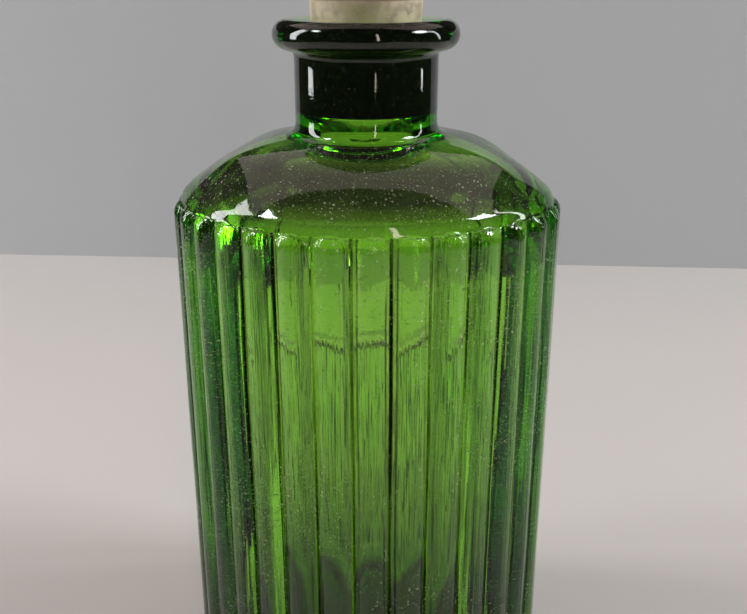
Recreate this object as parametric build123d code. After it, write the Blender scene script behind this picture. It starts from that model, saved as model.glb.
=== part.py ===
"""Reeded oval chemist's bottle with a ground-in glass stopper.

Millimetres. +Z is up, the origin is the middle of the standing surface, and the reeded
front of the bottle faces -Y. Writes one STEP for each of the two glass pieces.
"""

import math
import os

from build123d import *

# ---- bottle body ------------------------------------------------------------
body_width = 89.0  # side to side, over the reeds
body_depth = 75.0  # front to back, over the reeds
corner_angle = 59.5  # degrees off the front that the wall faces where front and side arcs meet
body_height = 125.6  # standing surface to where the wall turns in to the shoulder
wall = 3.2  # glass behind the reeds
floor_thickness = 5.0
heel_radius = 3.5
inner_heel_radius = 9.0
push_up_radius = 25.0  # rim of the hollow under the base
push_up_height = 5.0

# ---- reeds and name panel ---------------------------------------------------
reed_count = 30
reed_depth = 1.8
reed_land = 0.35  # flat left at the bottom of each valley
reed_end = 4.0  # height of the half ellipsoid that rounds off a reed
reed_rise = 2.2  # crown of a reed above the wall's turn
reed_foot_gap = 4.0  # standing surface to the lower end of a reed
panel_reeds = 8  # reeds cut short to make room for the plain panel at the back
panel_foot = 77.0  # standing surface to the panel's lower edge
panel_top_gap = 5.0  # panel's upper edge down from the wall's turn
panel_gap = 1.2  # plain strip round the panel
panel_depth = 1.2
panel_edge = 0.8  # rounding of the panel's edges

# ---- shoulder ---------------------------------------------------------------
shoulder_fall = 15.0  # degrees, slope of the side where it leaves the neck
shoulder_drop = 40.0  # degrees, slope of the side where it meets the turn
turn_radius = 4.2  # of the turn into the wall, at the sides
shoulder_crease = 3.0  # how far the four hips stand out of the oval
dome_drop = 12.0  # the inside dome springs this far below the wall's turn
dome_wall = 3.2  # glass over the crown of the inside dome

# ---- neck, lip and seat -----------------------------------------------------
neck_diameter = 31.8
neck_cove = 3.0  # radius where the neck grows out of the shoulder
neck_length = 18.5  # root of the neck to the underside of the lip
lip_diameter = 41.0
lip_height = 6.4
lip_cove = 1.6  # radius under the lip
lip_dish = 0.25  # fall of the lip's top towards the mouth
mouth_round = 0.8
bore_diameter = 21.6  # below the ground seat

# ---- stopper ----------------------------------------------------------------
shank_diameter = 24.2  # at the top of the lip
shank_depth = 18.8  # reaches this far below the top of the lip
taper = 0.1  # diameter lost for each millimetre of depth
seat_clearance = 0.05  # all round, between the ground faces
seat_run_out = 1.0  # ground seat left below the foot of the stopper
ground_band = 3.9  # ground shank left showing above the lip
shank_chamfer = 0.8
waist_diameter = 22.4
waist_height = 5.0
head_diameter = 37.0
head_height = 11.5
head_crown = 2.6  # how far the top of the head is domed
head_edge = 3.2  # rounding of the head's rim

FALL, DROP = math.radians(shoulder_fall), math.radians(shoulder_drop)
neck_radius = neck_diameter / 2
neck_root = neck_radius + neck_cove
core_width = body_width / 2 - reed_depth
core_depth = body_depth / 2 - reed_depth
sweep_radius = (core_width - turn_radius * (1 - math.sin(DROP)) - neck_root) / (math.sin(DROP) - math.sin(FALL))
turn_top_z = body_height + turn_radius * math.cos(DROP)
root_z = turn_top_z + sweep_radius * (math.cos(FALL) - math.cos(DROP))
lip_bottom_z = root_z + neck_length
lip_top_z = lip_bottom_z + lip_height
bore_root = bore_diameter / 2 + neck_cove
seat_top = shank_diameter / 2 + seat_clearance
dome_foot_z = body_height - dome_drop
dome_crown_z = root_z - dome_wall
ball_radius = (push_up_radius**2 + push_up_height**2) / (2 * push_up_height)


class Oval:
    """Outline of four arcs: two long ones front and back, two short ones at the sides."""

    def __init__(self, half_width, half_depth, bulge=0.0):
        turn = math.radians(corner_angle)
        spread = (half_width - half_depth) / (math.sin(turn) + math.cos(turn) - 1)
        self.half_width, self.half_depth, self.turn = half_width, half_depth, turn
        self.front_radius = half_depth + spread * math.cos(turn)
        self.side_radius = half_width - spread * math.sin(turn)
        self.front_centre = spread * math.cos(turn)
        self.side_centre = spread * math.sin(turn)
        self.corner_x = (self.front_radius + bulge) * math.sin(turn)
        self.corner_y = (self.front_radius + bulge) * math.cos(turn) - self.front_centre
        self.front_run = self.front_radius * turn
        self.half_round = 2 * (self.front_run + self.side_radius * (math.pi / 2 - turn))

    def face(self, z):
        x, y = self.corner_x, self.corner_y
        outline = [
            ThreePointArc((-x, -y), (0, -self.half_depth), (x, -y)),
            ThreePointArc((x, -y), (self.half_width, 0), (x, y)),
            ThreePointArc((x, y), (0, self.half_depth), (-x, y)),
            ThreePointArc((-x, y), (-self.half_width, 0), (-x, -y)),
        ]
        return Pos(0, 0, z) * make_face(outline)

    def back(self, x):
        """How far back the outline is at this distance from the middle."""
        return math.sqrt(self.front_radius**2 - x**2) - self.front_centre

    def at(self, run, inset=0.0):
        """Point this far round from the middle of the front, towards +X, and inset from the outline."""
        side = 1 if run >= 0 else -1
        run = abs(run)
        behind = run > self.half_round / 2
        if behind:
            run = self.half_round - run
        if run <= self.front_run:
            angle = run / self.front_radius
            x = (self.front_radius - inset) * math.sin(angle)
            y = self.front_centre - (self.front_radius - inset) * math.cos(angle)
        else:
            angle = self.turn + (run - self.front_run) / self.side_radius
            x = self.side_centre + (self.side_radius - inset) * math.sin(angle)
            y = -(self.side_radius - inset) * math.cos(angle)
        return side * x, -y if behind else y


core = Oval(core_width, core_depth)
pitch = 2 * core.half_round / reed_count


def shoulder():
    """Solid under the shoulder, from the oval wall to the round root of the neck."""

    def section(half_width, z):
        share = max(0.0, (half_width - neck_root) / (core_width - neck_root))
        bulge = shoulder_crease * 27 / 4 * share * (1 - share) ** 2
        return Oval(half_width, neck_root + share * (core_depth - neck_root), bulge).face(z)

    edge, slope = [], []
    for i in range(4):
        angle = math.pi / 2 + (DROP - math.pi / 2) * i / 3
        edge.append(section(core_width - turn_radius * (1 - math.sin(angle)), body_height + turn_radius * math.cos(angle)))
    for i in range(6):
        angle = DROP + (FALL - DROP) * i / 5
        half_width = neck_root + sweep_radius * (math.sin(angle) - math.sin(FALL))
        slope.append(section(half_width, turn_top_z + sweep_radius * (math.cos(angle) - math.cos(DROP))))
    return loft(edge).fuse(loft(slope))


def inside_dome():
    """Upper end of the hollow, rounder than the shoulder over it."""
    wide, deep = core_width - wall, core_depth - wall
    faces = []
    for i in range(7):
        angle = math.pi / 2 * i / 6
        reach = math.cos(angle)
        section = Oval(bore_root + reach * (wide - bore_root), bore_root + reach * (deep - bore_root))
        faces.append(section.face(dome_foot_z + (dome_crown_z - dome_foot_z) * math.sin(angle)))
    return loft(faces)


def turned(edges):
    """Solid of revolution about Z from edges drawn in the XZ plane as (radius, height)."""
    return revolve(Plane.XZ * make_face(edges), Axis.Z)


def reed(run):
    """Half-round column with rounded ends, let into the wall."""
    half_chord = (pitch - reed_land) / 2
    radius = (half_chord**2 + reed_depth**2) / (2 * reed_depth)
    top = body_height + reed_rise - reed_end
    if abs(run) > core.half_round - panel_reeds / 2 * pitch:
        top = panel_foot - panel_gap - reed_end
    foot = reed_foot_gap + reed_end
    x, y = core.at(run, radius - reed_depth)
    column = turned(
        [
            Line((0, foot - reed_end), (0, top + reed_end)),
            EllipticalCenterArc((0, top), radius, reed_end, 0, arc_size=90),
            Line((radius, foot), (radius, top)),
            EllipticalCenterArc((0, foot), radius, reed_end, 270, arc_size=90),
        ]
    )
    return Pos(x, y, 0) * column


def name_panel():
    """Plain raised panel on the upper half of the back."""
    plate = Oval(core_width + panel_depth, core_depth + panel_depth)
    edge_x = core.at(core.half_round - panel_reeds / 2 * pitch + panel_gap)[0]
    top = body_height - panel_top_gap
    height = top - panel_foot
    slab = extrude(plate.face(panel_foot), height)
    slab &= Pos(0, core_depth, panel_foot + height / 2) * Box(2 * edge_x, core_depth, height)
    rim = slab.edges().filter_by(lambda e: abs((e @ 0.5).Y - plate.back((e @ 0.5).X)) < 0.01)
    return fillet(rim, panel_edge)


def neck_and_lip():
    """Neck with its cove out of the shoulder, and the rounded lip."""
    roll = lip_height / 2
    ring = lip_diameter / 2 - roll
    cove = neck_radius + lip_cove
    lean = math.asin((cove - ring) / (roll + lip_cove))
    cove_z = lip_bottom_z + roll - (roll + lip_cove) * math.cos(lean)
    tilt = math.degrees(lean)
    return turned(
        [
            Line((0, root_z), (neck_root, root_z)),
            CenterArc((neck_root, root_z + neck_cove), neck_cove, 180, 90),
            Line((neck_radius, root_z + neck_cove), (neck_radius, cove_z)),
            CenterArc((cove, cove_z), lip_cove, 90 + tilt, 90 - tilt),
            CenterArc((ring, lip_bottom_z + roll), roll, tilt - 90, 180 - tilt),
            Line((ring, lip_top_z), (seat_top, lip_top_z - lip_dish)),
            Line((seat_top, lip_top_z - lip_dish), (0, lip_top_z - lip_dish)),
            Line((0, lip_top_z - lip_dish), (0, root_z)),
        ]
    )


def outer_form():
    body = extrude(core.face(0), body_height)
    body = fillet(body.edges().filter_by(lambda e: e.center().Z < 0.01), heel_radius)
    reeds = [reed((i - (reed_count - 1) / 2) * pitch) for i in range(reed_count)]
    return body.fuse(shoulder(), neck_and_lip(), name_panel(), *reeds)


def passage():
    """Way up through the root of the neck, the bore and the tapered seat."""
    bore = bore_diameter / 2
    top = dome_crown_z
    seat_foot_z = lip_top_z - shank_depth - seat_run_out
    seat_foot = seat_top - (shank_depth + seat_run_out) * taper / 2
    rim_z = lip_top_z - lip_dish - mouth_round
    rim = seat_top - (lip_dish + mouth_round) * taper / 2
    above = lip_top_z + mouth_round
    return turned(
        [
            Line((0, top), (bore_root, top)),
            CenterArc((bore_root, top + neck_cove), neck_cove, 180, 90),
            Line((bore, top + neck_cove), (bore, seat_foot_z - (seat_foot - bore))),
            Line((bore, seat_foot_z - (seat_foot - bore)), (seat_foot, seat_foot_z)),
            Line((seat_foot, seat_foot_z), (rim, rim_z)),
            CenterArc((rim + mouth_round, rim_z), mouth_round, 90, 90),
            Line((rim + mouth_round, rim_z + mouth_round), (rim + mouth_round, above)),
            Line((rim + mouth_round, above), (0, above)),
            Line((0, above), (0, top)),
        ]
    )


def cavity():
    """Space inside the bottle."""
    tank = extrude(Oval(core_width - wall, core_depth - wall).face(floor_thickness), dome_foot_z - floor_thickness)
    tank = fillet(tank.edges().filter_by(lambda e: e.center().Z < floor_thickness + 0.01), inner_heel_radius)
    tank = tank.fuse(inside_dome(), passage())
    return tank - Pos(0, 0, push_up_height + floor_thickness - ball_radius) * Sphere(ball_radius)


def bottle():
    hollow = Pos(0, 0, push_up_height - ball_radius) * Sphere(ball_radius)
    return outer_form() - cavity() - hollow


def stopper():
    """Solid stopper: ground tapered shank, clear waist and a flat round head."""
    foot_z = lip_top_z - shank_depth
    band_z = lip_top_z + ground_band
    waist_z = band_z + waist_height
    head_z = waist_z + head_height
    foot = shank_diameter / 2 - shank_depth * taper / 2
    band = shank_diameter / 2 + ground_band * taper / 2
    waist, head = waist_diameter / 2, head_diameter / 2
    step = band - waist
    cove = waist_height - step
    crown_z = head_z - head_crown
    crown_radius = ((head - head_edge) ** 2 + head_crown**2) / (2 * head_crown)
    return turned(
        [
            Line((0, foot_z), (foot - shank_chamfer, foot_z)),
            Line((foot - shank_chamfer, foot_z), (foot + shank_chamfer * taper / 2, foot_z + shank_chamfer)),
            Line((foot + shank_chamfer * taper / 2, foot_z + shank_chamfer), (band, band_z)),
            Line((band, band_z), (waist, band_z + step)),
            RadiusArc((waist, band_z + step), (waist + cove, waist_z), cove),
            Line((waist + cove, waist_z), (head - head_edge, waist_z)),
            RadiusArc((head - head_edge, waist_z), (head, waist_z + head_edge), -head_edge),
            Line((head, waist_z + head_edge), (head, crown_z - head_edge)),
            RadiusArc((head, crown_z - head_edge), (head - head_edge, crown_z), -head_edge),
            RadiusArc((head - head_edge, crown_z), (0, head_z), -crown_radius),
            Line((0, head_z), (0, foot_z)),
        ]
    )


os.makedirs("parts", exist_ok=True)
for name, make in (("bottle", bottle), ("stopper", stopper)):
    solid = make()
    solid.label = name
    export_step(solid, f"parts/{name}.step")
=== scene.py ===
"""Reeded green chemist's bottle with a ground glass stopper, on a pale bench."""

import math

import bpy
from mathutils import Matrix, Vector, noise


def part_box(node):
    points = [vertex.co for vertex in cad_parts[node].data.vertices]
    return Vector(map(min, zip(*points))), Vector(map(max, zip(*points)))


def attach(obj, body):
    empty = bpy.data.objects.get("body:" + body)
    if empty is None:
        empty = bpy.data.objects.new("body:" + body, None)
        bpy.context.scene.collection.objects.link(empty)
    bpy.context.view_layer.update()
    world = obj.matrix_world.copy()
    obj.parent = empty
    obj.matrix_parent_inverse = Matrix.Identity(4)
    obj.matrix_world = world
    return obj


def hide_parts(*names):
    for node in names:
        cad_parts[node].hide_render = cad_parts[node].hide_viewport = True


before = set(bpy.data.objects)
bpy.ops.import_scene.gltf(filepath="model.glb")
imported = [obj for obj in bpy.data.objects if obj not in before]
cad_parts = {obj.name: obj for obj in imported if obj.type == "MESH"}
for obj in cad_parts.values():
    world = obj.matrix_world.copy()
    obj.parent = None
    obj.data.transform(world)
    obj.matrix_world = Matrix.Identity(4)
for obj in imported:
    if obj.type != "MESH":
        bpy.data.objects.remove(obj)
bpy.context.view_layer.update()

MM = 0.001
lip_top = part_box("bottle")[1].z
stopper_low, stopper_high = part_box("stopper")

# ---- body, in metres ----
reed_depth = 1.8 * MM
half_width = 44.5 * MM - reed_depth
half_depth = 37.5 * MM - reed_depth
corner_turn = math.radians(59.5)
body_height = 125.6 * MM
wall = 3.2 * MM
floor_thickness = 5.0 * MM
heel_radius = 3.5 * MM
inner_heel = 9.0 * MM
push_up_radius = 25.0 * MM
push_up_height = 5.0 * MM
ring_start = 1.0 * MM  # beyond the hollow's edge the standing ring turns from round to oval
push_up_ball = (push_up_radius**2 + push_up_height**2) / (2 * push_up_height)

# ---- reeds and name panel ----
reed_count = 30
reed_land = 0.35 * MM
reed_end = 4.0 * MM
reed_rise = 2.2 * MM
reed_foot_gap = 4.0 * MM
reed_unequal = 0.4 * MM
reed_melt = 0.25 * MM
panel_reeds = 8
panel_foot = 77.0 * MM
panel_top = body_height - 5.0 * MM
panel_gap = 1.2 * MM
panel_depth = 1.2 * MM
panel_edge = 0.8 * MM

# ---- shoulder ----
FALL, DROP = math.radians(15.0), math.radians(40.0)
turn_radius = 4.2 * MM
shoulder_crease = 3.0 * MM
dome_drop = 12.0 * MM
dome_wall = 3.2 * MM
front_draw = 0.71  # how far the front of the shoulder draws in for each step that its sides do

# ---- neck and lip ----
neck_radius = 15.9 * MM
neck_cove = 3.0 * MM
neck_root = neck_radius + neck_cove
lip_height = 6.4 * MM
lip_radius = 20.5 * MM
lip_cove = 1.6 * MM
lip_dish = 0.25 * MM
mouth_round = 0.8 * MM
bore_radius = 10.8 * MM

# ---- stopper and its seat ----
shank_radius = 12.1 * MM
shank_depth = lip_top - stopper_low.z
shank_chamfer = 0.8 * MM
taper = 0.05
seat_clearance = 0.05 * MM
seat_run_out = 1.0 * MM
ground_band = 3.9 * MM
waist_radius = 11.2 * MM
waist_height = 5.0 * MM
head_radius = 18.5 * MM
head_edge = 3.2 * MM
head_crown = 2.6 * MM

slope_width = half_width - turn_radius * (1 - math.sin(DROP)) - neck_root
sweep = slope_width / (math.sin(DROP) - math.sin(FALL))
turn_top = body_height + turn_radius * math.cos(DROP)
root_z = turn_top + sweep * (math.cos(FALL) - math.cos(DROP))

COLUMNS_PER_REED = 12
COLUMNS = reed_count * COLUMNS_PER_REED
STOPPER_COLUMNS = 144
WELD = 0.002 * MM


class Oval:
    """Outline of four arcs, its four corners drawn out by a bulge."""

    def __init__(self, width, depth, bulge=0.0):
        spread = (width - depth) / (math.sin(corner_turn) + math.cos(corner_turn) - 1)
        self.width, self.depth = width, depth
        front = depth + spread * math.cos(corner_turn)
        side = width - spread * math.sin(corner_turn)
        self.front_run = front * corner_turn
        self.quarter = self.front_run + side * (math.pi / 2 - corner_turn)
        self.corner_x = (front + bulge) * math.sin(corner_turn)
        self.corner_y = (front + bulge) * math.cos(corner_turn) - spread * math.cos(corner_turn)
        rise = depth - self.corner_y
        self.front_radius = (self.corner_x**2 + rise**2) / (2 * rise)
        sag = width - self.corner_x
        self.side_radius = (self.corner_y**2 + sag**2) / (2 * sag)
        self.front_angle = math.asin(self.corner_x / self.front_radius)
        self.side_angle = math.asin(min(1.0, self.corner_y / self.side_radius))

    def at(self, share):
        """Point and outward direction at this share (-1 to 1) of half the way round from the front."""
        side = 1 if share >= 0 else -1
        run = abs(share) * 2 * self.quarter
        behind = run > self.quarter
        if behind:
            run = 2 * self.quarter - run
        if run <= self.front_run:
            a = self.front_angle * run / self.front_run
            x = self.front_radius * math.sin(a)
            y = self.front_radius - self.depth - self.front_radius * math.cos(a)
            nx, ny = math.sin(a), -math.cos(a)
        else:
            a = self.side_angle * (1 - (run - self.front_run) / (self.quarter - self.front_run))
            x = self.width - self.side_radius + self.side_radius * math.cos(a)
            y = -self.side_radius * math.sin(a)
            nx, ny = math.cos(a), -math.sin(a)
        if behind:
            y, ny = -y, -ny
        return side * x, y, side * nx, ny


core = Oval(half_width, half_depth)
root_oval = Oval(neck_root + 1e-6, neck_root)
perimeter = 4 * core.quarter
reed_pitch = perimeter / reed_count
half_chord = (reed_pitch - reed_land) / 2
reed_radius = (half_chord**2 + reed_depth**2) / (2 * reed_depth)


def clear_selection():
    bpy.ops.object.select_all(action="DESELECT")


def arc(cx, cz, radius, start, end, steps):
    """Points (radius, height) along an arc, angles in degrees from +radius towards +height."""
    for i in range(steps + 1):
        a = math.radians(start + (end - start) * i / steps)
        yield cx + radius * math.cos(a), cz + radius * math.sin(a)


def straight(r0, z0, r1, z1, steps):
    """Points between two points, the first left out."""
    for i in range(1, steps + 1):
        yield r0 + (r1 - r0) * i / steps, z0 + (z1 - z0) * i / steps


def shoulder_rise(turn_steps, slope_steps):
    """Points from the wall's turn up the shoulder to the root of the neck."""
    for i in range(1, turn_steps + 1):
        a = math.pi / 2 + (DROP - math.pi / 2) * i / turn_steps
        yield half_width - turn_radius * (1 - math.sin(a)), body_height + turn_radius * math.cos(a)
    for i in range(1, slope_steps + 1):
        a = DROP + (FALL - DROP) * i / slope_steps
        r = neck_root + sweep * (math.sin(a) - math.sin(FALL))
        yield r, turn_top + sweep * (math.cos(a) - math.cos(DROP))


def inside_dome(root, reach, foot, crown, steps):
    """Points down the rounded upper end of the hollow."""
    for i in range(1, steps + 1):
        a = math.pi / 2 * (1 - i / steps)
        yield root + (reach - root) * math.cos(a), foot + (crown - foot) * math.sin(a)


def lathe(name, profile, columns, marked=False):
    """Spins a profile of (radius, height) round Z. Marked points keep their place in the profile."""
    clear_selection()
    mesh = bpy.data.meshes.new(name)
    mesh.from_pydata([(r, 0, z) for r, z in profile], [(i, i + 1) for i in range(len(profile) - 1)], [])
    if marked:
        mark = mesh.attributes.new("station", "INT", "POINT")
        for i in range(len(profile)):
            mark.data[i].value = i
    piece = bpy.data.objects.new(name, mesh)
    bpy.context.scene.collection.objects.link(piece)
    bpy.context.view_layer.objects.active = piece
    piece.select_set(True)
    bpy.ops.object.mode_set(mode="EDIT")
    bpy.ops.mesh.select_all(action="SELECT")
    bpy.ops.mesh.spin(steps=columns, angle=2 * math.pi, center=(0, 0, 0), axis=(0, 0, 1))
    bpy.ops.mesh.select_all(action="SELECT")
    bpy.ops.mesh.remove_doubles(threshold=WELD)
    bpy.ops.object.mode_set(mode="OBJECT")
    return piece


def hollow(lift, limit, steps):
    """Points out along the ball that is pushed up into the base."""
    for i in range(1, steps + 1):
        r = limit * i / steps
        yield r, lift - push_up_ball + math.sqrt(push_up_ball**2 - r**2)


def base_and_wall():
    """Stations of the hollow under the base, the standing ring, the heel and the reeded wall."""
    rim_inside, rim_outside = push_up_radius - 0.8 * MM, push_up_radius + 0.6 * MM
    heel_start = half_width - heel_radius
    yield "hollow", [(0.0, push_up_height)]
    yield "hollow", hollow(push_up_height, rim_inside, 12)
    yield "ring", [(rim_outside, 0.0)]
    yield "ring", straight(rim_outside, 0, heel_start, 0, 3)
    yield "wall", list(arc(heel_start, heel_radius, heel_radius, -90, 0, 7))[1:]
    feet_done = reed_foot_gap + reed_end + 1.0 * MM
    panel_near, panel_begun = panel_foot - 6.5 * MM, panel_foot + 2.5 * MM
    tops_near = panel_top - 2.1 * MM
    rows = ((feet_done, 14), (panel_near, 8), (panel_begun, 18), (tops_near, 5), (body_height, 16))
    z = heel_radius
    for top, steps in rows:
        yield "wall", straight(half_width, z, half_width, top, steps)
        z = top


def neck_and_seat():
    """Stations of the shoulder, the neck, the lip, the ground seat and the bore."""
    roll = lip_height / 2
    lip_middle = lip_top - roll
    under = lip_radius - roll
    cove_r = neck_radius + lip_cove
    lean = math.asin((cove_r - under) / (roll + lip_cove))
    lean_degrees = math.degrees(lean)
    cove_z = lip_middle - (roll + lip_cove) * math.cos(lean)
    seat_top = shank_radius + seat_clearance
    rim_z = lip_top - lip_dish
    seat_foot_z = lip_top - shank_depth - seat_run_out
    seat_foot = seat_top - (lip_top - seat_foot_z) * taper
    step_z = seat_foot_z - 0.6 * MM
    inner_cove_z = root_z - dome_wall + neck_cove
    yield "shoulder", shoulder_rise(14, 30)
    yield "neck", list(arc(neck_root, root_z + neck_cove, neck_cove, -90, -180, 7))[1:]
    yield "neck", straight(neck_radius, root_z + neck_cove, neck_radius, cove_z, 6)
    yield "neck", list(arc(cove_r, cove_z, lip_cove, 180, 90 + lean_degrees, 6))[1:]
    yield "lip", list(arc(under, lip_middle, roll, -90 + lean_degrees, 90, 20))[1:]
    yield "lip", straight(under, lip_top, seat_top + mouth_round, rim_z, 3)
    yield "seat", list(arc(seat_top + mouth_round, rim_z - mouth_round, mouth_round, 90, 180, 5))[1:]
    yield "seat", straight(seat_top, rim_z - mouth_round, seat_foot, seat_foot_z, 10)
    yield "bore", straight(seat_foot, seat_foot_z, bore_radius, step_z, 2)
    yield "bore", straight(bore_radius, step_z, bore_radius, inner_cove_z, 2)
    yield "bore", list(arc(bore_radius + neck_cove, inner_cove_z, neck_cove, 180, 270, 6))[1:]


def inside():
    """Stations of the hollow, from its dome down to the middle of the floor."""
    width = half_width - wall
    dome_foot = body_height - dome_drop
    heel_z = floor_thickness + inner_heel
    bowl_rim = push_up_radius - 1.0 * MM
    bowl_top = floor_thickness + push_up_height
    yield "inner_shoulder", inside_dome(bore_radius + neck_cove, width, dome_foot, root_z - dome_wall, 16)
    yield "inner_wall", straight(width, dome_foot, width, heel_z, 18)
    yield "inner_wall", list(arc(width - inner_heel, heel_z, inner_heel, 0, -90, 9))[1:]
    yield "inner_ring", straight(width - inner_heel, floor_thickness, bowl_rim + 1.2 * MM, floor_thickness, 2)
    yield "inner_hollow", list(reversed(list(hollow(bowl_top, bowl_rim, 10))))
    yield "inner_hollow", [(0.0, bowl_top)]


def bottle_profile():
    """Stations (zone, radius, height) from the middle of the base, up the outside and down the inside."""
    out = []
    for part in (base_and_wall(), neck_and_seat(), inside()):
        for zone, points in part:
            out.extend((zone, r, z) for r, z in points)
    return out


def level(zone, r):
    """Outline at a station of the profile."""
    if zone == "ring" and r > push_up_radius + ring_start:
        share = (r - push_up_radius) / (half_width - heel_radius - push_up_radius)
        return Oval(r, push_up_radius + share * (half_depth - heel_radius - push_up_radius))
    if zone in ("wall", "inner_wall"):
        return Oval(r, r - half_width + half_depth)
    if zone == "shoulder":
        share = max(0.0, (r - neck_root) / (half_width - neck_root))
        depth = neck_root + share * (half_depth - neck_root)
        bulge = 27 / 4 * share * (1 - share) ** 2  # 1 at its fullest, a third of the way out
        return Oval(r + 1e-9, depth, shoulder_crease * bulge)
    if zone == "inner_shoulder":
        root = bore_radius + neck_cove
        share = max(0.0, (r - root) / (half_width - wall - root))
        return Oval(r + 1e-9, root + share * (half_depth - wall - root))
    if zone == "inner_ring":
        outer = half_width - wall - inner_heel
        share = max(0.0, min(1.0, (r - push_up_radius) / (outer - push_up_radius)))
        return Oval(r + 1e-9, r - share * (half_width - half_depth))
    return None


def column_run(column):
    """Distance round the wall from the middle of the front to a column, closer together at the valleys."""
    reed = math.floor(column / COLUMNS_PER_REED) + 0.5
    t = 2 * (column / COLUMNS_PER_REED - reed)
    return (reed + 0.225 * t + 0.275 * math.sin(math.pi / 2 * t)) * reed_pitch


def smooth_step(x):
    """0 to 1, eased at both ends."""
    x = min(1.0, max(0.0, x))
    return x * x * (3 - 2 * x)


def soft_max(a, b, k):
    """The larger of two, melted together where they come within k."""
    h = max(k - abs(a - b), 0.0) / k
    return max(a, b) + h * h * k / 4


def reed_relief(run, z, inset):
    """How far a reed stands out of a surface this far inside the wall's."""
    reed = math.floor(run / reed_pitch) + 0.5
    short = abs(reed) > (reed_count - panel_reeds) / 2
    unequal = noise.noise(Vector((reed * 7.3, 0.4, 2.0)))
    top = body_height + reed_rise - reed_end - reed_unequal * (1 + unequal)
    if short:
        top = panel_foot - panel_gap - reed_end
    over = max(z - top, reed_foot_gap + reed_end - z, 0.0) / reed_end
    radius = reed_radius * math.sqrt(max(0.0, 1 - over * over))
    s = run - reed * reed_pitch
    if radius <= abs(s):
        return 0.0
    crown = math.sqrt(radius**2 - s * s) - reed_radius + reed_depth
    return soft_max(crown + inset, 0.0, reed_melt)


def panel_relief(run, z):
    """How far the name panel stands out of the wall."""
    edge = (reed_count - panel_reeds) / 2 * reed_pitch + panel_gap
    inside = min(abs(run) - edge, z - panel_foot, panel_top - z)
    return panel_depth * smooth_step(inside / panel_edge + 0.5)


def waver(point, size, amount, seed):
    """Slow unevenness of hand-blown glass."""
    return amount * noise.noise((point + Vector((seed, seed * 0.7, seed * 1.3))) / size)


def round_turn(share):
    """Angle round a circle that answers to this share of the way round the oval."""
    _, _, nx, ny = root_oval.at(share)
    return math.atan2(nx, -ny)


def pressed(zone, r, z, run, outline):
    """Where a point of the blank, this far round the wall, ends up in the mould."""
    share = 2 * run / perimeter
    if outline is None:
        turn = round_turn(share)
        nx, ny = math.sin(turn), -math.cos(turn)
        px, py = r * nx, r * ny
    else:
        px, py, nx, ny = outline.at(share)
    out = 0.0
    if zone in ("wall", "shoulder"):
        inset = (half_width - r) * (front_draw + (1 - front_draw) * abs(nx))
        out = max(reed_relief(run, z, inset), panel_relief(run, z) if zone == "wall" else 0.0)
        out -= 0.1 * MM + waver(Vector((px, py, z * 0.35)), 9 * MM, 0.1 * MM, 3.0)
    elif zone.startswith("inner"):
        near_middle = min(1.0, r / (20 * MM))
        out = waver(Vector((px, py, z * 0.5)), 12 * MM, 0.7 * MM, 11.0) * near_middle
    return px + nx * out, py + ny * out, z


def is_reeded(zone, z, run):
    """Whether reeds run past this point of the outside."""
    behind = abs(run) > (reed_count - panel_reeds) / 2 * reed_pitch - 0.01 * MM
    top = panel_foot - panel_gap if behind else body_height + 0.5 * MM
    return zone in ("wall", "shoulder") and reed_foot_gap < z < top


def write_wrap(mesh, wraps):
    """UV map whose U counts reeds round the wall and whose V is 1 on the reeds."""
    wrap = mesh.uv_layers.new(name="reed_wrap")
    for face in mesh.polygons:
        corners = [mesh.loops[i].vertex_index for i in face.loop_indices]
        turns = [wraps[v][0] for v in corners]
        split = max(turns) - min(turns) > reed_count / 2
        for loop, v, u in zip(face.loop_indices, corners, turns):
            wrap.data[loop].uv = (u + reed_count if split and u < 0 else u, wraps[v][1])


def bottle_mesh():
    """The bottle, spun as a blank and then pressed into its reeded oval mould."""
    stations = bottle_profile()
    piece = lathe("bottle_glass", [(r, z) for _, r, z in stations], COLUMNS, marked=True)
    mesh = piece.data
    levels = [level(zone, r) for zone, r, _ in stations]
    marks = mesh.attributes["station"].data
    wraps = []
    for vertex, tag in zip(mesh.vertices, marks):
        zone, r, z = stations[tag.value]
        if r < 1e-6:
            wraps.append((0.0, 0.0))
            continue
        x, y, _ = vertex.co
        run = column_run(round(math.atan2(x, -y) / (2 * math.pi) * COLUMNS))
        vertex.co = pressed(zone, r, z, run, levels[tag.value])
        wraps.append((run / reed_pitch, 1.0 if is_reeded(zone, z, run) else 0.0))
    write_wrap(mesh, wraps)
    return piece


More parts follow.
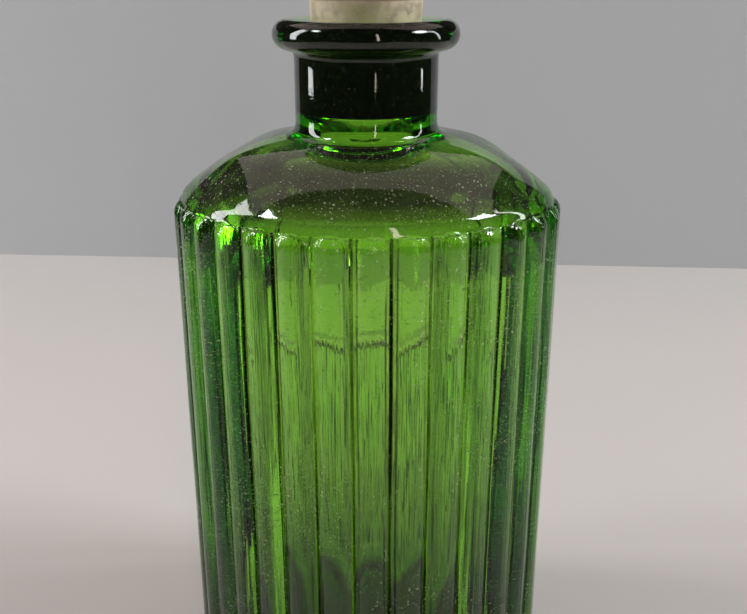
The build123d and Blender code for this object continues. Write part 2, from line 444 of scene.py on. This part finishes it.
def stopper_profile():
    """Points (radius, height) of the stopper, from the middle of its foot to the middle of its crown."""
    foot_z = stopper_low.z
    band_z = lip_top + ground_band
    foot = shank_radius - shank_depth * taper
    band = shank_radius + ground_band * taper
    step = band - waist_radius
    cove = waist_height - step
    waist_z = band_z + waist_height
    edge_r = head_radius - head_edge
    crown_z = stopper_high.z - head_crown
    crown_ball = (edge_r**2 + head_crown**2) / (2 * head_crown)
    soft = 0.3 * MM  # the ground band's upper edge is worn
    worn_r, worn_z = band - soft, band_z + 0.05 * MM
    points = [(0.0, foot_z)]
    points += straight(0, foot_z, foot - shank_chamfer, foot_z, 5)
    points += list(arc(foot - shank_chamfer, foot_z + shank_chamfer, shank_chamfer, -90, 0, 5))[1:]
    points += straight(foot, foot_z + shank_chamfer, band, band_z - soft, 26)
    points += [(band - 0.1 * MM, band_z - 0.08 * MM), (worn_r, worn_z)]
    points += straight(worn_r, worn_z, waist_radius, band_z + step, 3)
    points += list(arc(waist_radius + cove, band_z + step, cove, 180, 90, 12))[1:]
    points += straight(waist_radius + cove, waist_z, edge_r, waist_z, 2)
    points += list(arc(edge_r, waist_z + head_edge, head_edge, -90, 0, 10))[1:]
    points += straight(head_radius, waist_z + head_edge, head_radius, crown_z - head_edge, 3)
    points += list(arc(edge_r, crown_z - head_edge, head_edge, 0, 78, 10))[1:]
    crown_steps = 14
    for i in range(1, crown_steps + 1):
        r = edge_r * 0.98 * (1 - i / crown_steps)
        points.append((r, stopper_high.z - crown_ball + math.sqrt(crown_ball**2 - r * r)))
    return points


def stopper_mesh():
    return lathe("stopper_glass", stopper_profile(), STOPPER_COLUMNS)


# ---- shading -----------------------------------------------------------------


class Field:
    """A shader socket that takes part in sums, as a number that varies over the surface."""

    def __init__(self, paint, socket):
        self.paint, self.socket = paint, socket

    def sum(self, operation, *others):
        node = self.paint.node("ShaderNodeMath", {"operation": operation}, self, *others)
        return Field(self.paint, node.outputs[0])

    def __add__(self, other):
        return self.sum("ADD", other)

    def __mul__(self, other):
        return self.sum("MULTIPLY", other)

    def __sub__(self, other):
        return self.sum("SUBTRACT", other)

    def __rsub__(self, other):
        return self.paint.number(other).sum("SUBTRACT", self)

    def __gt__(self, other):
        return self.sum("GREATER_THAN", other)

    def __lt__(self, other):
        return self.sum("LESS_THAN", other)

    __radd__ = __add__
    __rmul__ = __mul__

    def most(self, other):
        return self.sum("MAXIMUM", other)

    def to_whole(self):
        """Distance to the nearest whole number."""
        return (self + 100.0).sum("PINGPONG", 0.5)

    def power(self, other):
        return self.sum("POWER", other)

    def between(self, low, high):
        """0 below low, 1 above high, eased."""
        settings = {"interpolation_type": "SMOOTHSTEP"}
        node = self.paint.node("ShaderNodeMapRange", settings, self, low, high, 0.0, 1.0)
        return Field(self.paint, node.outputs[0])


class Paint:
    """One material and the nodes in it."""

    def __init__(self, name):
        self.material = bpy.data.materials.new(name)
        self.material.use_nodes = True
        self.tree = self.material.node_tree
        self.tree.nodes.clear()
        self.out = self.tree.nodes.new("ShaderNodeOutputMaterial")
        self.place = self.tree.nodes.new("ShaderNodeTexCoord").outputs["Object"]

    def node(self, kind, settings, *values, **named):
        node = self.tree.nodes.new(kind)
        for key, value in settings.items():
            setattr(node, key, value)
        for i, value in enumerate(values):
            self.plug(node.inputs[i], value)
        for key, value in named.items():
            self.plug(node.inputs[key.replace("_", " ")], value)
        return node

    def plug(self, socket, value):
        if isinstance(value, Field):
            self.tree.links.new(value.socket, socket)
        elif isinstance(value, bpy.types.NodeSocket):
            self.tree.links.new(value, socket)
        elif value is not None:
            socket.default_value = value

    def number(self, value):
        return Field(self, self.node("ShaderNodeMath", {"operation": "ADD"}, value, 0.0).outputs[0])

    def coordinates(self):
        node = self.node("ShaderNodeSeparateXYZ", {}, self.place)
        return [Field(self, socket) for socket in node.outputs]

    def wrap(self, name):
        node = self.node("ShaderNodeUVMap", {"uv_map": name})
        split = self.node("ShaderNodeSeparateXYZ", {}, node.outputs[0])
        return [Field(self, socket) for socket in split.outputs[:2]]

    def drawn_out(self, shrink):
        """Place, for grain that is drawn out up the bottle."""
        return self.node("ShaderNodeMapping", {}, self.place, Scale=(1, 1, shrink)).outputs[0]

    def grain(self, scale, detail=2.0, rough=0.5, place=None):
        place = place or self.place
        node = self.node("ShaderNodeTexNoise", {}, Vector=place, Scale=scale, Detail=detail, Roughness=rough)
        return Field(self, node.outputs[0])

    def specks(self, scale):
        """Distance to the nearest of many scattered points."""
        node = self.node("ShaderNodeTexVoronoi", {}, Vector=self.place, Scale=scale)
        return Field(self, node.outputs["Distance"])

    def mix(self, factor, first, second):
        node = self.node("ShaderNodeMix", {"data_type": "RGBA"})
        for name, value in (("Factor", factor), ("A", first), ("B", second)):
            if isinstance(value, (tuple, list)):
                value = (*value, 1)
            self.plug([i for i in node.inputs if i.name == name and i.enabled][0], value)
        return [o for o in node.outputs if o.enabled][0]

    def bump(self, height, distance):
        return self.node("ShaderNodeBump", {}, Strength=1.0, Distance=distance, Height=height).outputs[0]

    def blend(self, factor, first, second):
        return self.node("ShaderNodeMixShader", {}, factor, first, second).outputs[0]

    def matt(self, colour):
        return self.node("ShaderNodeBsdfDiffuse", {}, Color=(*colour, 1)).outputs[0]

    def absorb(self, colour, density):
        """Tints the light by the length of its way through the glass."""
        node = self.node("ShaderNodeVolumeAbsorption", {}, Color=(*colour, 1), Density=density)
        self.plug(self.out.inputs["Volume"], node.outputs[0])


def valley_groove_and_shade(paint, turns, reeded, drift):
    """Groove along the valleys between the reeds, with painted shade in them and painted dark lines along
    their edges.
    """
    sway = paint.grain(38, 2.0, 0.5, paint.drawn_out(0.2)) - 0.5
    valley = (turns + sway * 0.22).to_whole()
    groove = (1.0 - valley.between(0.0, 0.055)) * reeded
    # Painted shade: black in the valleys, wider and darker where the drift grain is high, and thin dark lines
    # just beside them.
    valley_shade_reach = 0.02 + 0.10 * drift
    valley_shade = (1.0 - valley.between(0.0, valley_shade_reach)) * reeded * (0.15 + 1.3 * drift.between(0.3, 0.75))
    line = valley.between(0.11, 0.14) * (1.0 - valley.between(0.15, 0.19))
    valley_edge_shade = line * reeded * drift.between(0.45, 0.6)
    return groove, valley_shade, valley_edge_shade


def dust_specks(paint, patches):
    fine = (0.21 - paint.specks(1500)).between(0.0, 0.06)
    coarse = (0.17 - paint.specks(620)).between(0.0, 0.05)
    return fine.most(coarse) * (0.25 + 0.75 * patches)


def green_tint_and_painted_shade(paint, x, y, z, drift):
    """Colour that the surface gives the light, with painted shade: darker at the foot, the flanks and the
    shoulder's front.
    """
    # Painted shade: the clean tint darkens towards the foot and on the flanks below the shoulder.
    clean, painted_foot_shade = (0.99, 0.98, 0.92), (0.40, 0.40, 0.30)
    painted_flank_shade, painted_shoulder_shade = (0.25, 0.22, 0.18), (0.11, 0.09, 0.07)
    foot = 1.0 - z.between(4.0 * MM, 75.0 * MM)
    flank = (x * x).power(0.5).between(28 * MM, 41 * MM)
    below_shoulder = 1.0 - z.between(body_height, body_height + 3 * MM)
    front = (0.0 - y).between(4 * MM, 18 * MM)
    # Painted shade: a near-black brown tint on the shoulder's front, from the top of the wall up to the root
    # of the neck.
    shoulder_front_shade = z.between(body_height + 1 * MM, body_height + 4 * MM) * (1.0 - z.between(root_z - 4 * MM, root_z))
    tint = paint.mix(foot * (0.35 + 1.2 * drift), clean, painted_foot_shade)
    tint = paint.mix(flank * below_shoulder * (0.35 + 0.5 * drift), tint, painted_flank_shade)
    return paint.mix(shoulder_front_shade * front, tint, painted_shoulder_shade)


def green_glass():
    """Pressed green glass with painted shade in its valleys, dust, a shoulder filmed with dust and a painted
    reflection, a dark ground seat, and painted shade at its foot, flanks and shoulder's front.
    """
    paint = Paint("emerald_pressed_glass")
    x, y, z = paint.coordinates()
    turns, reeded = paint.wrap("reed_wrap")
    across = (x * x + y * y).power(0.5)
    seat_heights = (z > lip_top - shank_depth - 1.1 * MM) * (z < lip_top - 1.2 * MM)
    seat = seat_heights * (across < shank_radius + 0.2 * MM)
    outside = (across > bore_radius + 1.5 * MM) * (z > 1.0 * MM)
    patches = paint.grain(30, 3.0, 0.6).between(0.42, 0.70)
    drift = paint.grain(160, 3.0, 0.6, paint.drawn_out(0.12))
    groove, valley_shade, valley_edge_shade = valley_groove_and_shade(paint, turns, reeded, drift)

    streaks = paint.grain(700, 2.0, 0.6, paint.drawn_out(0.025))
    ripple = paint.grain(55, 2.0)
    pitting = paint.grain(900, 3.0)
    ground = paint.grain(5200, 2.0)
    height = ripple * 0.9 + pitting * 0.05 + reeded * streaks * 1.3 + seat * ground * 0.4 - groove * 2.4
    glass = paint.node(
        "ShaderNodeBsdfPrincipled",
        {},
        Base_Color=green_tint_and_painted_shade(paint, x, y, z, drift),
        Roughness=0.02 + 0.03 * patches + seat * 0.45,
        IOR=1.52,
        Transmission_Weight=1.0,
        Normal=paint.bump(height, 0.2 * MM),
    )

    over_wall = z.between(body_height, body_height + 4 * MM)
    on_shoulder = over_wall * (1.0 - z.between(root_z - 1 * MM, root_z + 1 * MM))
    # Brownish matt film on the shoulder: dust, and a painted reflection of the brown room.
    dust_film_and_painted_reflection = on_shoulder * outside * (0.02 + 0.07 * patches)
    dusty = (1.0 - 0.85 * z.between(root_z, root_z + 2 * MM)) * outside
    specks = dust_specks(paint, patches) * dusty
    # Black matt: grime on the ground seat, and painted shade in and beside the reed valleys.
    seat_grime_and_valley_shade = paint.matt((0.010, 0.013, 0.007))
    surface = paint.blend(dust_film_and_painted_reflection, glass.outputs[0], paint.matt((0.38, 0.34, 0.28)))
    surface = paint.blend((valley_shade * 1.1).most(valley_edge_shade * 0.75), surface, seat_grime_and_valley_shade)
    surface = paint.blend(specks * 0.8, surface, paint.matt((0.72, 0.70, 0.50)))
    surface = paint.blend(seat, surface, seat_grime_and_valley_shade)
    paint.plug(paint.out.inputs["Surface"], surface)
    paint.absorb((0.58, 0.915, 0.0), 300.0)
    return paint.material


def clear_glass():
    """Clear glass, frosted and stained below the top of its ground band, with painted light from a faint
    brownish matt layer all over.
    """
    paint = Paint("clear_ground_glass")
    _, _, z = paint.coordinates()
    ground = z < lip_top + ground_band
    fine = paint.grain(3600, 3.0, 0.7)
    coarse = paint.grain(6000, 2.0, 0.7)
    scuffs = paint.grain(140, 4.0, 0.6).between(0.5, 0.75)
    glass = paint.node(
        "ShaderNodeBsdfPrincipled",
        {},
        Base_Color=(0.97, 0.95, 0.91, 1),
        Roughness=0.04 + ground * 0.5 + scuffs * 0.08,
        IOR=1.5,
        Transmission_Weight=1.0,
        Normal=paint.bump(ground * (fine + 0.6 * coarse), 0.25 * MM),
    )
    pits = paint.specks(2600).between(0.12, 0.42)
    stain = paint.grain(420, 3.0, 0.6).between(0.38, 0.62)
    # Painted light: a faint brownish matt layer over the whole stopper, a little more where scuffed,
    # brightens its clear waist and head; on the ground band it also carries the frost and stain.
    frost_stain_and_painted_light = (0.22 + 0.1 * scuffs).most(ground * (0.4 + 0.55 * stain) * (0.2 + 0.8 * pits))
    surface = paint.blend(frost_stain_and_painted_light, glass.outputs[0], paint.matt((0.86, 0.72, 0.54)))
    paint.plug(paint.out.inputs["Surface"], surface)
    paint.absorb((0.93, 0.96, 0.92), 14.0)
    return paint.material


def plain(name, colour, roughness):
    """Matt board with a faint mottle."""
    paint = Paint(name)
    mottle = paint.grain(6, 3.0)
    shade = paint.mix(mottle, [c * 0.97 for c in colour], [c * 1.03 for c in colour])
    surface = paint.node("ShaderNodeBsdfPrincipled", {}, Base_Color=shade, Roughness=roughness)
    paint.plug(paint.out.inputs["Surface"], surface.outputs[0])
    return paint.material


# ---- the bench, the light and the camera ---------------------------------------


def board(name, width, height, place, turn, material):
    """Flat board that the object stands on or in front of."""
    clear_selection()
    bpy.ops.mesh.primitive_plane_add(size=1, location=(0, 0, 0))
    piece = bpy.context.object
    piece.name = name
    piece.scale = (width, height, 1)
    piece.rotation_euler = turn
    piece.location = place
    bpy.ops.object.transform_apply(location=True, rotation=True, scale=True)
    piece.data.materials.append(material)


def bench():
    top = plain("pale_bench", (0.60, 0.575, 0.555), 0.6)
    board("bench_top", 0.9, 0.9, (0.0, -0.02, 0.0), (0, 0, 0), top)
    back = plain("grey_backdrop", (0.52, 0.525, 0.545), 0.8)
    board("backdrop", 0.9, 0.24, (0.0, 0.338, 0.12), (math.pi / 2, 0, math.radians(0.9)), back)


def lamp(name, place, aim, size, power, colour=(1, 1, 1)):
    light = bpy.data.lights.new(name, "AREA")
    light.shape = "RECTANGLE"
    light.size, light.size_y = size
    light.energy = power
    light.color = colour
    ob = bpy.data.objects.new(name, light)
    ob.location = place
    beam = Vector(aim) - Vector(place)
    ob.rotation_euler = beam.to_track_quat("-Z", "Y").to_euler()
    bpy.context.scene.collection.objects.link(ob)


def lights():
    middle, mid_height = (0, 0, 0.08), (0, 0, 0.12)
    lamp("lamp_right", (0.78, -0.06, 0.78), middle, (0.26, 0.20), 5.0, (0.90, 0.97, 1.0))
    lamp("lamp_left", (-0.70, -0.20, 0.90), middle, (0.18, 0.12), 1.9, (0.94, 0.98, 1.0))
    lamp("ceiling", (0, 0.62, 1.25), (0, 0.62, 0), (2.4, 1.4), 9.0, (1.0, 0.82, 0.78))
    lamp("window_left", (-0.90, 0.02, 0.42), mid_height, (0.20, 0.84), 5.0)
    lamp("window_right", (0.90, 0.18, 0.42), mid_height, (0.06, 0.84), 1.6)
    lamp("door_front", (0.32, -0.95, 0.42), mid_height, (0.05, 0.84), 1.2, (1.0, 0.85, 0.7))
    world = bpy.data.worlds.new("room")
    bpy.context.scene.world = world
    world.use_nodes = True
    background = world.node_tree.nodes["Background"]
    background.inputs["Color"].default_value = (0.62, 0.57, 0.52, 1)
    background.inputs["Strength"].default_value = 0.06


def camera():
    """Looks down at the shoulder from just right of the front. Its distances are in body widths."""
    body = 2 * (half_width + reed_depth)
    turn, pitch = math.radians(4.5), math.radians(19.3)
    distance, height, aside = 2.28 * body, 1.976 * body, 0.018 * body
    data = bpy.data.cameras.new("camera")
    data.sensor_width = 36
    data.lens = 43.4
    data.shift_y = -0.0335
    data.clip_start = 0.01
    ob = bpy.data.objects.new("camera", data)
    x = math.sin(turn) * distance + math.cos(turn) * aside
    y = math.sin(turn) * aside - math.cos(turn) * distance
    ob.location = (x, y, height)
    ob.rotation_euler = (math.pi / 2 - pitch, 0, turn)
    bpy.context.scene.collection.objects.link(ob)
    bpy.context.scene.camera = ob


def finish_piece(piece, node, body, material):
    """Shades a piece, ties it to the body that it moves with and hides its CAD node."""
    clear_selection()
    piece.select_set(True)
    bpy.context.view_layer.objects.active = piece
    bpy.ops.object.shade_smooth()
    piece.data.materials.append(material)
    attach(piece, body)
    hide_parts(node)


finish_piece(bottle_mesh(), "bottle", "bottle", green_glass())
finish_piece(stopper_mesh(), "stopper", "stopper", clear_glass())
bench()
lights()
camera()
bpy.context.scene.view_settings.view_transform = "Standard"
